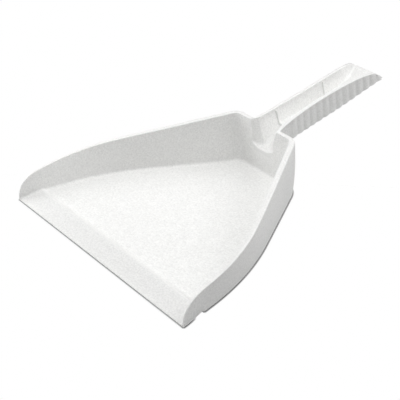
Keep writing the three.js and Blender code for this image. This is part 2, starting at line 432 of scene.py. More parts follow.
def islands(shape: bmesh.types.BMesh) -> list[list[bmesh.types.BMVert]]:
    """Lists the connected parts of a mesh, largest first.

    Args:
        shape: The mesh.

    Returns:
        The vertices of each part.
    """
    seen: set[int] = set()
    found = []
    shape.verts.index_update()
    for vertex in shape.verts:
        if vertex.index in seen:
            continue
        stack, island = [vertex], []
        seen.add(vertex.index)
        while stack:
            current = stack.pop()
            island.append(current)
            for edge in current.link_edges:
                other = edge.other_vert(current)
                if other.index not in seen:
                    seen.add(other.index)
                    stack.append(other)
        found.append(island)
    return sorted(found, key=len, reverse=True)


# ---- The tray ----


@dataclass(frozen=True)
class Plan:
    """One half of a plan outline: side, bend, taper, rounded corner, back wall to the middle.

    Attributes:
        front: Where it starts at the lip.
        kink: The sharp point of the bend.
        corner: The sharp rear corner.
        bend_end: Where the bend ends, along Y.
        rounding: How far the rear corner's rounding reaches.
    """

    front: Place
    kink: Place
    corner: Place
    bend_end: float
    rounding: float

    def points(self, shares: Sequence[Sequence[float]], bend_start: float) -> list[Place]:
        """Gives places along the outline.

        Args:
            shares: Shares of each of its five stretches.
            bend_start: Where the bend starts, along Y.

        Returns:
            The places, from the lip to the middle of the back wall.
        """
        start = on_line(self.front, self.kink, bend_start)
        bend = on_line(self.kink, self.corner, self.bend_end)
        turn = moved(self.corner, heading(self.corner, self.kink), self.rounding)
        wall = (self.corner[0] - self.rounding, self.corner[1])
        middle = (NEAR_MIDDLE, self.corner[1])
        ends = ((self.front, start), (start, bend), (bend, turn), (turn, wall), (wall, middle))
        corners = (None, self.kink, None, self.corner, None)
        places = []
        for (a, b), corner, steps in zip(ends, corners, shares, strict=True):
            places += [between(a, b, t) if corner is None else quadratic(a, corner, b, t) for t in steps]
        return [(x, y) for x, y in [*places, middle]]


@dataclass
class Tray:
    """The open tray: lip, ramp, floor, leaning walls, rolled rim and outer skirt.

    The comments say what each group of sizes is. A pair of places is where something starts and ends.
    """

    # Walls, then the floor from the lip back: flat strip, ramp, eased crest, step, flat.
    wall: float = 2.4
    lip_edge: float = 1.0
    strip_end: float = 6.0
    strip_rise: float = 0.6
    crest: float = 29.0
    crest_ease: float = 2.4
    crest_height: float = 6.6
    step_end: float = 32.0
    floor_top: float = 3.0
    # Rim: its height at the lip, the round nose behind that, and the steady climb.
    rim_start: float = 1.4
    nose_run: float = 30.0
    nose_rise: float = 26.5
    nose_power: float = 2.4
    rim_slope: float = 0.157
    # Rim: the flat land, its inner edge, and the rolled shoulder outside, which widen towards the back.
    land_front: float = 0.8
    land_back: float = 2.6
    rim_edge: float = 0.6
    shoulder_front: float = 0.9
    shoulder_back: float = 4.0
    shoulder_drop: float = 1.5
    shoulder_limit: float = 1 / 3
    widen: Place = (20, 200)
    # Skirt: how far it swells outwards, and the bevel at its foot. Limits are shares of the height.
    bulge: float = 1.6
    swell_run: Place = (60, 180)
    foot_edge: float = 0.5
    foot_limit: float = 1 / 8
    # Fillet where the walls meet the floor.
    floor_fillet: float = 3.2
    fillet_limit: float = 0.4
    # Plan outlines, and how many stations the bend, taper, corner and back wall get.
    bend_start: float = 44.0
    rim_plan: Plan = Plan((151.6, 0), (143.9, 89.4), (47.6, 262.6), 135, 8)
    skirt_plan: Plan = Plan((152.5, 0), (139.6, 105), (53, 268.5), 160, 22)
    floor_plan: Plan = Plan((150, 0), (131.6, 105.3), (36, 261), 155, 7)
    shares_behind: tuple[int, ...] = (30, 26, 16, 6)
    # How far cutting bodies reach past the pan, and the air under the ramp: gaps above it at the crest,
    # then its height at the step and how far short of the step's end it stops.
    below: float = 4.0
    above: float = 12.0
    ahead: float = 6.0
    beside: float = 200.0
    under_crest: Place = (0.8, 0.9)
    under_step: Place = (1.3, 0.4)
    # Stations of the three outlines, and the outward direction at each.
    rim: list[Place] = field(init=False)
    skirt: list[Place] = field(init=False)
    floor: list[Place] = field(init=False)
    outward: list[Place] = field(init=False)

    def __post_init__(self) -> None:
        """Lays out the three outlines at the same stations."""
        nose = [y / self.bend_start for y in NOSE_STATIONS]
        shares = [nose, *(even(count) for count in self.shares_behind)]
        self.rim = self.rim_plan.points(shares, self.bend_start)
        self.skirt = self.skirt_plan.points(shares, self.bend_start)
        self.floor = self.floor_plan.points(shares, self.bend_start)
        self.outward = []
        for i in range(len(self.rim)):
            before = self.rim[max(i - 1, 0)]
            after = self.rim[min(i + 1, len(self.rim) - 1)]
            way = heading(before, after)
            self.outward.append((way[1], -way[0]))

    def rim_height(self, y: float) -> float:
        """Gives the rim's height: a steep round nose, then a steady climb.

        Args:
            y: Place along the pan.

        Returns:
            Height above the ground.
        """
        nose = 1 - (1 - clamp(y / self.nose_run)) ** self.nose_power
        return self.rim_start + self.nose_rise * nose ** (1 / self.nose_power) + self.rim_slope * y

    def sharp_floor(self, y: float) -> float:
        """Gives the floor's height with sharp corners: lip strip, ramp, step and flat.

        Args:
            y: Place along the pan.

        Returns:
            Height above the ground.
        """
        strip = self.lip_edge + self.strip_rise
        if y <= self.strip_end:
            return lerp(self.lip_edge, strip, clamp(y / self.strip_end))
        if y <= self.crest:
            return lerp(strip, self.crest_height, (y - self.strip_end) / (self.crest - self.strip_end))
        return lerp(self.crest_height, self.floor_top, clamp((y - self.crest) / (self.step_end - self.crest)))

    def floor_height(self, y: float) -> float:
        """Gives the floor's height with eased corners.

        Args:
            y: Place along the pan.

        Returns:
            Height above the ground.
        """
        ease = min(self.crest_ease, max(y - 1, 0) / 2)
        return sum(self.sharp_floor(y + ease * shift) for shift in EASE_SHIFTS) / len(EASE_SHIFTS)

    def shoulder_and_land(self, y: float) -> Place:
        """Gives the width of the rolled shoulder outside the rim and of the flat land inside it.

        Args:
            y: Place along the pan.

        Returns:
            Both widths.
        """
        back = smooth(y, *self.widen)
        shoulder = lerp(self.shoulder_front, self.shoulder_back, back)
        land = lerp(self.land_front, self.land_back, back)
        return min(shoulder, self.rim_height(y) * self.shoulder_limit), land

    def drawn_in(self, i: int, point: Point, inset: float) -> Point:
        """Moves a point of the outside in, short of the middle. The outside itself stays behind the lip.

        Args:
            i: Its station.
            point: The point.
            inset: How far it moves.

        Returns:
            The moved point.
        """
        nx, ny = self.outward[i]
        front = -math.inf if inset > 0 else 0.0
        return (max(point[0] - nx * inset, NEAR_MIDDLE), max(point[1] - ny * inset, front), point[2])

    def outer_section(self, i: int, inset: float) -> Section:
        """Gives a section of the tray's outside: skirt, rolled shoulder, rim.

        Args:
            i: Station.
            inset: How much smaller the section is all over.

        Returns:
            The section's right side, from bottom to top.
        """
        (x0, y0), (nx, ny) = self.rim[i], self.outward[i]
        height = self.rim_height(y0)
        radius, _ = self.shoulder_and_land(y0)
        drop = min(radius, self.shoulder_drop)
        foot = self.skirt[i]
        low = -self.below if inset > 0 else 0.0
        edge = 0.0 if inset > 0 else min(self.foot_edge, height * self.foot_limit)
        top = max(height - drop - inset, low + MIN_SKIRT)
        points: Section = []
        for share in SKIRT_SHARES:
            swell = self.bulge * 4 * share * (1 - share) * smooth(y0, *self.swell_run)
            out = swell - (edge if share == 0 else 0.0)
            x = lerp(foot[0], x0 + nx * radius, share) + nx * out
            y = lerp(foot[1], y0 + ny * radius, share) + ny * out
            z = lerp(low, top, share)
            if share == SKIRT_FOOT_SHARE:
                z = low + min(edge + 2 * LAYER, (top - low) / FOOT_PARTS)
            points.append((x, y, z))
        for step, (across, rise) in enumerate(rolled()):
            z = max(height - drop * (1 - rise) - inset, low + MIN_SKIRT + 4 * LAYER * step)
            points.append((x0 + nx * radius * across, y0 + ny * radius * across, z))
        return [self.drawn_in(i, point, inset) for point in points]

    def inner_section(self, i: int, grow: float) -> Section:
        """Gives a section of the tray's inside, with its floor fillet and eased rim.

        Args:
            i: Station.
            grow: How much wider it is. A wider one also goes down through the floor.

        Returns:
            The section's right side, from bottom to above the rim.
        """
        (x0, y0), (nx, ny) = self.rim[i], self.outward[i]
        _, land = self.shoulder_and_land(y0)
        top = self.rim_height(y0)
        foot = self.floor[i]
        if grow > 0:
            low = (max(foot[0] + nx * grow, NEAR_MIDDLE), foot[1] + ny * grow, -self.below)
            x, y = max(x0 - nx * (land - grow), NEAR_MIDDLE), y0 - ny * (land - grow)
            return [low, (x, y, top), (x, y, top + self.above)]
        base = (foot[0], foot[1], self.floor_height(foot[1]))
        crown = (x0 - nx * land, y0 - ny * land, top)
        slant = math.dist(base, crown)
        fillet = min(self.floor_fillet, slant * self.fillet_limit)
        reach = min(self.rim_edge, slant * EDGE_LIMIT)
        up = heading(base, crown)
        inside = (base[0] - nx * fillet, base[1] - ny * fillet)
        start = (inside[0], inside[1], self.floor_height(inside[1]))
        lift, under = moved(base, up, fillet), moved(crown, up, -reach)
        over = (crown[0] + nx * reach * EDGE_OUT, crown[1] + ny * reach * EDGE_OUT, top + LAYER)
        steps = FLOOR_FILLET_STEPS
        points = [quadratic(start, base, lift, t / steps) for t in range(steps + 1)]
        points += [between(lift, under, t) for t in WALL_SHARES]
        points += [quadratic(under, crown, over, t / EDGE_STEPS) for t in range(EDGE_STEPS + 1)]
        points.append((over[0], over[1], top + self.above))
        return [(max(x, NEAR_MIDDLE), y, z) for x, y, z in points]

    def outside(self, inset: float) -> bpy.types.Object:
        """Makes the solid tray.

        Args:
            inset: How much smaller it is all over.

        Returns:
            The body.
        """
        return loft("tray_outside", [self.outer_section(i, inset) for i in range(len(self.rim))])

    def inside(self, grow: float) -> bpy.types.Object:
        """Makes the space inside the tray.

        Args:
            grow: How much wider it is.

        Returns:
            The body.
        """
        sections = [self.inner_section(i, grow) for i in range(len(self.rim))]
        ahead = [(x, -self.ahead, z) for x, _, z in sections[0]]
        return loft("tray_inside", [ahead, *sections])

    def under_ramp(self) -> bpy.types.Object:
        """Makes the wedge of air under the ramp.

        Returns:
            The body.
        """
        step = self.step_end - self.under_step[1]
        profile = [
            (self.strip_end, -self.below),
            (self.strip_end, 0.0),
            (self.crest - self.under_crest[0], self.crest_height - self.wall - self.under_crest[1]),
            (step, self.under_step[0]),
            (step, -self.below),
        ]
        count = len(profile)
        points = [(side * self.beside * MM, y * MM, z * MM) for side in (-1, 1) for y, z in profile]
        faces = [tuple(range(count)), tuple(reversed(range(count, 2 * count)))]
        faces += [(k, k + count, (k + 1) % count + count, (k + 1) % count) for k in range(count)]
        return new_body("under_ramp", points, faces)


# ---- The handle ----


@dataclass
class Handle:
    """The trough-shaped handle with fluted sides.

    The comments say what each group of sizes is. Tables give a size at places along the handle.
    """

    # Places along the handle. Behind the tray's skirt the hollow underneath starts a little below the belly,
    # and in front of that it starts at skirt_top. Two sections end the handle: one at the tip and one the
    # second tip_gap before it. The others end the first tip_gap before it.
    start: float = 248.0
    wall_face: float = 260.0
    end: float = 458.0
    tip_gap: Place = (0.2, 0.5)
    past_tip: float = 6.0
    grip_start: float = 292.0
    hollow_end: float = 440.0
    skirt_back: float = 268.4
    skirt_top: float = 46.0
    hollow_belly: float = 4.0
    # Trough wall, rim land, rolled shoulder, the side's swelling and the bevel at its foot.
    wall: float = 2.4
    land: float = 0.8
    shoulder: float = 3.4
    shoulder_drop: float = 1.5
    shoulder_parts: float = 2.2
    bulge: float = 1.6
    foot_tuck: float = 0.4
    neck_step: float = 3.0
    # Flutes: they lean with height, have round valleys and fade towards the rim.
    flute_pitch: float = 12.0
    flute_depth: float = 1.5
    flute_count: int = 14
    flute_lean: float = 0.16
    flute_round: float = 0.05
    flute_fade: float = 0.5
    flute_steps: int = 16
    # Doorway: its bevel, the rounding of its edge, how far its sides are drawn in halfway up, and its
    # stations: those ahead of the wall's face and how many the bevel and the rounding get.
    mouth_depth: float = 8.5
    mouth_wide: float = 14.5
    mouth_lift: float = 4.5
    mouth_ease: float = 2.8
    mouth_waist: float = 2.2
    mouth_lead: tuple[float, ...] = (254.0, 257.0, 259.0)
    mouth_steps: tuple[int, int] = (8, 6)
    # The trough's own wall: where it starts and is cut off, and its lag and spread per thickness.
    shell_start: float = 254.0
    shell_front: float = 259.3
    shell_lag: float = 0.8
    shell_spread: float = 0.6
    # Trough section: bottom corners, the rim's inner edge, and the bottom as shares of the corner.
    fillet: float = 3.0
    fillet_lean: float = 0.35
    rim_edge: float = 0.7
    bottom_flat: float = 0.35
    bottom_turn: float = 0.6
    bottom_lift: float = 0.4
    above: float = 12.0
    # Ribs: the profile is in shares of half the thickness and of the height. Their feet sink into the bottom,
    # and a block of half width, half length and height rib_clear cuts them off below the rim.
    ribs: tuple[float, ...] = (295.5, 379.5)
    rib_thick: float = 2.4
    rib_high: float = 2.0
    rib_shape: Table = ((-0.75, 0.55), (-0.35, 0.92), (0, 1), (0.35, 0.92), (0.75, 0.55))
    rib_sink: float = 0.2
    rib_gap: float = 2.2
    rib_run_out: float = 0.3
    rib_clear: Point = (60.0, 20.0, 60.0)
    # Half width and height of the rim, lower edge of the side, height and half width of the trough's bottom.
    half: Table = (
        (245, 21.3), (262, 21), (272, 18), (292, 15.6), (345, 13.4), (395, 14.6), (435, 17.8), (458, 20),
    )  # fmt: skip
    rim: Table = (
        (245, 66.5), (262, 68.5), (300, 75.2), (345, 81.8), (390, 86.9),
        (425, 89.17), (440, 88), (451, 83), (458, 77.8),
    )  # fmt: skip
    belly: Table = ((245, 12), (268, 24), (292, 46), (335, 50.5), (390, 59), (430, 69), (458, 76))
    trough: Table = (
        (248, 30), (262, 34), (282, 47), (296, 55), (345, 61.5),
        (400, 68.5), (430, 77), (452, 82.2), (458, 78.6),
    )  # fmt: skip
    trough_half: Table = ((248, 2.4), (262, 2.4), (282, 4.2), (296, 5), (420, 5.5), (445, 14), (458, 18))

    def flute(self, y: float, z: float) -> float:
        """Gives how far the side is drawn in by the flutes.

        Args:
            y: Place along the handle.
            z: Height.

        Returns:
            A negative distance, 0 on a flute's crown.
        """
        along = y + (z - blend(self.belly, y)) * self.flute_lean - self.grip_start
        if not 0 < along < self.flute_pitch * self.flute_count:
            return -self.flute_depth
        crown = abs(math.sin(math.pi * along / self.flute_pitch))
        rounded = math.sqrt(crown**2 + self.flute_round) / math.sqrt(1 + self.flute_round)
        return self.flute_depth * (rounded - 1)

    def outer_section(self, y: float, inset: float) -> Section:
        """Gives a section of the handle's outside.

        Args:
            y: Place along the handle.
            inset: How much smaller it is all over. A smaller one is smooth and goes down past the belly.

        Returns:
            The section's right side, from bottom to top.
        """
        half = blend(self.half, y)
        top = blend(self.rim, y) - inset
        belly = blend(self.belly, y)
        if inset > 0:
            belly = belly - self.hollow_belly if y > self.skirt_back else self.skirt_top
        radius = min(self.shoulder, (top - belly) / self.shoulder_parts)
        drop = min(radius, self.shoulder_drop)
        points: Section = []
        for share in GRIP_SHARES:
            z = lerp(belly, top - drop, share)
            drawn = 0.0 if inset > 0 else self.flute(y, z) * (1 - self.flute_fade * share)
            tuck = self.foot_tuck if share == 0 else 0.0
            points.append((half + self.shoulder + self.bulge * (1 - share) + drawn - inset - tuck, y, z))
        for across, rise in rolled()[1:]:
            out = half + self.shoulder - radius + radius * across
            points.append((out - inset, y, top - drop * (1 - rise)))
        return points

    def mouth(self, y: float) -> Place:
        """Gives how far the doorway in the back wall is opened out: its bevel and its rounded edge.

        Args:
            y: Place along the handle.

        Returns:
            The share of the bevel and of the rounding, both 1 at the wall's face and 0 inside the trough.
        """
        inner = self.wall_face + self.mouth_depth
        bevel = clamp((inner - y) / self.mouth_depth)
        turn = clamp((inner + self.mouth_ease - y) / (self.mouth_depth + self.mouth_ease))
        return bevel, 1 - math.sqrt(max(1 - turn**2, 0.0))

    def trough_section(self, y: float, grow: float, above: float) -> Section:
        """Gives a section of the space in the trough, round-bottomed and open above.

        Args:
            y: Place along the handle.
            grow: How much larger it is.
            above: How far it goes on above the rim.

        Returns:
            The section's right side, from bottom to top.
        """
        bevel, eased = self.mouth(y - grow * self.shell_lag)
        opened = eased * self.mouth_ease
        top = blend(self.rim, y)
        low = blend(self.trough, y) - grow
        rim_half = blend(self.half, y) - self.land + grow + opened
        base = blend(self.trough_half, y) + grow * self.shell_spread + bevel * self.mouth_wide + opened
        rise = min(self.fillet, (top - low) / 4)
        side = base + self.fillet_lean * rise
        if bevel == 0:
            rim_half = max(rim_half, base)
            side = min(side, rim_half)
        corner = (side, y, low + bevel * self.mouth_lift)
        crown = (rim_half, y, max(top, low + SMALL_STEP))
        up = heading(corner, crown)
        reach = min(self.rim_edge, math.dist(corner, crown) * EDGE_LIMIT)
        lift, under = moved(corner, up, rise), moved(crown, up, -reach)
        edge = 0.0 if grow > 0 else reach * EDGE_OUT
        over = (crown[0] + edge, y, crown[2] + LAYER)
        inner = (corner[0] * self.bottom_turn, y, lerp(low, corner[2], self.bottom_lift))
        points = [(corner[0] * self.bottom_flat, y, low)]
        steps = TROUGH_FILLET_STEPS
        points += [quadratic(inner, corner, lift, t / steps) for t in range(steps + 1)]
        for t in TROUGH_SHARES:
            x, _, z = between(lift, under, t)
            points.append((x - bevel * self.mouth_waist * 4 * t * (1 - t), y, z))
        points += [quadratic(under, crown, over, t / EDGE_STEPS) for t in range(EDGE_STEPS + 1)]
        points.append((over[0], y, crown[2] + 2 * LAYER + above))
        return points

    def places(self, step: float, until: float) -> list[float]:
        """Gives places along the trough, closer together at its mouth.

        Args:
            step: Spacing away from the mouth.
            until: Where they end.

        Returns:
            The places, rising.
        """
        inner = self.wall_face + self.mouth_depth
        bevel, ease = self.mouth_steps
        near = [self.start, *self.mouth_lead]
        near += [self.wall_face + self.mouth_depth * k / bevel for k in range(1, bevel + 1)]
        near += [inner + self.mouth_ease * k / ease for k in range(1, ease + 1)]
        count = int((until - near[-1]) / step)
        return near + [lerp(near[-1], until, (k + 1) / count) for k in range(count)]

    def outside(self) -> bpy.types.Object:
        """Makes the solid handle.

        Returns:
            The body.
        """
        neck = int((self.grip_start - self.start) / self.neck_step) + 1
        places = [self.start + self.neck_step * k for k in range(neck)]
        flutes = range(self.flute_count * self.flute_steps)
        places += [self.grip_start + self.flute_pitch * k / self.flute_steps for k in flutes]
        nearest, last = self.tip_gap
        places = {round(y, 3) for y in places if y < self.end - nearest} | {self.end - last, self.end}
        return loft("handle_outside", [self.outer_section(y, 0) for y in sorted(places)])

    def hollow(self) -> bpy.types.Object:
        """Makes the space under the grip.

        Returns:
            The body.
        """
        skirt = (self.skirt_back - SMALL_STEP, self.skirt_back + SMALL_STEP)
        places = [*self.places(4, self.hollow_end), *skirt]
        return loft("handle_hollow", [self.outer_section(y, self.wall) for y in sorted(places)])

    def trough_space(self) -> bpy.types.Object:
        """Makes the space in the trough, open at the handle's tip.

        Returns:
            The body.
        """
        places = [*self.places(2, self.end), self.end + self.past_tip]
        return loft("trough_space", [self.trough_section(y, 0, self.above) for y in places])

    def trough_shell(self) -> bpy.types.Object:
        """Makes the trough's wall as a solid body.

        Returns:
            The body.
        """
        places = [y for y in self.places(3, self.hollow_end) if y >= self.shell_start]
        return loft("trough_shell", [self.trough_section(y, self.wall, 0) for y in places])

    def rib(self, y: float) -> bpy.types.Object:
        """Makes a low rib across the trough.

        Args:
            y: Its middle.

        Returns:
            The body.
        """
        reach = self.rib_thick / 2
        outer = loft("rib", [self.trough_section(y + s, 1, 0) for s in (-reach, reach)])
        crest = [(along, self.rib_high * rise) for along, rise in self.rib_shape]
        end, foot = self.rib_run_out, -self.rib_sink
        profile = [(-2, end), (-1, foot), *crest, (1, foot), (2, end)]
        sections = [self.trough_section(y + reach * along, -rise, self.above) for along, rise in profile]
        combine(outer, loft("rib_inner", sections), Join.CUT)
        top = blend(self.rim, y) - self.rib_gap
        wide, long, high = self.rib_clear
        combine(outer, block("above_rib", (-wide, y - long, top), (wide, y + long, top + high)), Join.CUT)
        return outer


# ---- The finish ----


def add_node(
    tree: bpy.types.NodeTree,
    kind: str,
    inputs: dict[str | int, float | Colour] | None = None,
    **settings: str,
) -> bpy.types.Node:
    """Adds a shader node.

    Args:
        tree: The node tree.
        kind: The node's type, after "ShaderNode".
        inputs: Constants for its input sockets.
        settings: Its options, set before the sockets.

    Returns:
        The node.
    """
    node = tree.nodes.new("ShaderNode" + kind)
    for name, value in settings.items():
        setattr(node, name, value)
    for socket, value in (inputs or {}).items():
        node.inputs[socket].default_value = value
    return node


@dataclass(frozen=True)
class MouldedPlastic:
    """White moulded plastic with a fine spark-eroded grain.

    Attributes:
        name: Name of the material, which is also the record's slot.
        colour: Base colour.
        ramp_shade: Darker colour painted on the lip strip and ramp as shade.
        worn: Colour of the worn edges.
        mottle_shade: How dark the slow mottle's other colour is, as a share of the base colour.
        roughness: Mean roughness.
        roughness_range: How far below and above that the mottle takes it.
        edge_polish: How much smoother a worn edge is.
        burnish: How much smoother the fillet round the floor is.
        fleck: How much the grain lightens and darkens the colour.
        fleck_range: The part of the noise over which it does so.
        ior: Index of refraction.
        specular: Level of the highlights.
        grain_size: Spacing of the grain, in metres.
        grain_depth: Depth of the grain, in metres.
        grain_strength: Strength of its bump.
        smooth_grain: Share of the grain's depth off the floor.
        pit_density: Pits per spacing of the grain.
        pit_share: Share of the pits in the grain's height.
        mottle_scale: Density of the mottle, per metre.
    """

    name: str = "white_plastic"
    colour: Colour = (0.88, 0.88, 0.868, 1.0)
    ramp_shade: Colour = (0.82, 0.82, 0.81, 1.0)
    worn: Colour = (0.9, 0.9, 0.89, 1.0)
    mottle_shade: float = 0.975
    roughness: float = 0.33
    roughness_range: Place = (0.06, 0.08)
    edge_polish: float = 0.12
    burnish: float = 0.05
    fleck: float = 0.11
    fleck_range: Place = (0.25, 0.75)
    ior: float = 1.49
    specular: float = 0.45
    grain_size: float = 0.0019
    grain_depth: float = 0.00008
    grain_strength: float = 0.7
    smooth_grain: float = 0.08
    pit_density: float = 2.6
    pit_share: float = 0.35
    mottle_scale: float = 55.0

    def grain_group(self) -> bpy.types.NodeTree:
        """Builds the shared grain: fine pebbles and pits, and a slow unevenness.

        Returns:
            The node group, with a height and two masks.
        """
        group = bpy.data.node_groups.new("moulded_grain", "ShaderNodeTree")
        face, links = group.interface, group.links
        face.new_socket("Place", in_out="INPUT", socket_type="NodeSocketVector")
        face.new_socket("Pebbles", in_out="INPUT", socket_type="NodeSocketFloat")
        for name in ("Height", "Mottle", "Fleck"):
            face.new_socket(name, in_out="OUTPUT", socket_type="NodeSocketFloat")
        start, end = group.nodes.new("NodeGroupInput"), group.nodes.new("NodeGroupOutput")
        pebble = add_node(group, "TexNoise", {"Scale": 1 / self.grain_size, "Detail": 2.0, "Roughness": 0.55})
        pits = add_node(group, "TexVoronoi", {"Scale": self.pit_density / self.grain_size})
        slow = add_node(group, "TexNoise", {"Scale": self.mottle_scale, "Detail": 3.0})
        both = add_node(group, "Math", {1: self.pit_share}, operation="MULTIPLY_ADD")
        scaled = add_node(group, "Math", operation="MULTIPLY")
        for texture in (pebble, pits, slow):
            links.new(start.outputs["Place"], texture.inputs["Vector"])
        links.new(pits.outputs["Distance"], both.inputs[0])
        links.new(pebble.outputs["Fac"], both.inputs[2])
        links.new(both.outputs[0], scaled.inputs[0])
        links.new(start.outputs["Pebbles"], scaled.inputs[1])
        links.new(scaled.outputs[0], end.inputs["Height"])
        links.new(slow.outputs["Fac"], end.inputs["Mottle"])
        links.new(pebble.outputs["Fac"], end.inputs["Fleck"])
        return group

    def build(self) -> bpy.types.Material:
        """Builds the material.

        Returns:
            The material.
        """
        material = bpy.data.materials.new(self.name)
        material.use_nodes = True
        tree = material.node_tree
        links = tree.links
        shader = tree.nodes["Principled BSDF"]
        shader.inputs["IOR"].default_value = self.ior
        shader.inputs["Specular IOR Level"].default_value = self.specular
        masks = {mask: add_node(tree, "Attribute", attribute_name=mask.value).outputs["Fac"] for mask in Mask}
        place = add_node(tree, "TexCoord")
        grain = add_node(tree, "Group")
        grain.node_tree = self.grain_group()
        links.new(place.outputs["Object"], grain.inputs["Place"])

        amount = add_node(tree, "MapRange", {"To Min": self.smooth_grain, "To Max": 1.0})
        bump = add_node(tree, "Bump", {"Strength": self.grain_strength, "Distance": self.grain_depth})
        links.new(masks[Mask.TEXTURED], amount.inputs["Value"])
        links.new(amount.outputs["Result"], grain.inputs["Pebbles"])
        links.new(grain.outputs["Height"], bump.inputs["Height"])
        links.new(bump.outputs["Normal"], shader.inputs["Normal"])

        darker = tuple(c * self.mottle_shade for c in self.colour[:3]) + (1.0,)
        shade = add_node(tree, "Mix", {"A": darker, "B": self.colour}, data_type="RGBA")
        # Painted shade: the lip strip and ramp take a darker colour.
        ramp_shade = add_node(tree, "Mix", {"B": self.ramp_shade}, data_type="RGBA")
        worn = add_node(tree, "Mix", {"B": self.worn}, data_type="RGBA")
        low, high = self.fleck_range
        spread = {"From Min": low, "From Max": high, "To Min": 1 - self.fleck, "To Max": 1 + self.fleck}
        fleck = add_node(tree, "MapRange", spread)
        flecked = add_node(tree, "VectorMath", operation="SCALE")
        links.new(grain.outputs["Mottle"], shade.inputs["Factor"])
        links.new(masks[Mask.SHADED_RAMP], ramp_shade.inputs["Factor"])
        links.new(shade.outputs["Result"], ramp_shade.inputs["A"])
        links.new(grain.outputs["Fleck"], fleck.inputs["Value"])
        links.new(ramp_shade.outputs["Result"], flecked.inputs["Vector"])
        links.new(fleck.outputs["Result"], flecked.inputs["Scale"])
        links.new(masks[Mask.WORN], worn.inputs["Factor"])
        links.new(flecked.outputs["Vector"], worn.inputs["A"])
        links.new(worn.outputs["Result"], shader.inputs["Base Color"])

        below, above = self.roughness_range
        spread = {"To Min": self.roughness - below, "To Max": self.roughness + above}
        rough = add_node(tree, "MapRange", spread)
        polish = add_node(tree, "Math", {1: -self.edge_polish}, operation="MULTIPLY_ADD")
        gloss = add_node(tree, "Math", {1: -self.burnish}, operation="MULTIPLY_ADD")
        links.new(grain.outputs["Mottle"], rough.inputs["Value"])
        links.new(masks[Mask.WORN], polish.inputs[0])
        links.new(rough.outputs["Result"], polish.inputs[2])
        links.new(masks[Mask.BURNISHED], gloss.inputs[0])
        links.new(polish.outputs[0], gloss.inputs[2])
        links.new(gloss.outputs[0], shader.inputs["Roughness"])
        return material


# ---- The moulding ----


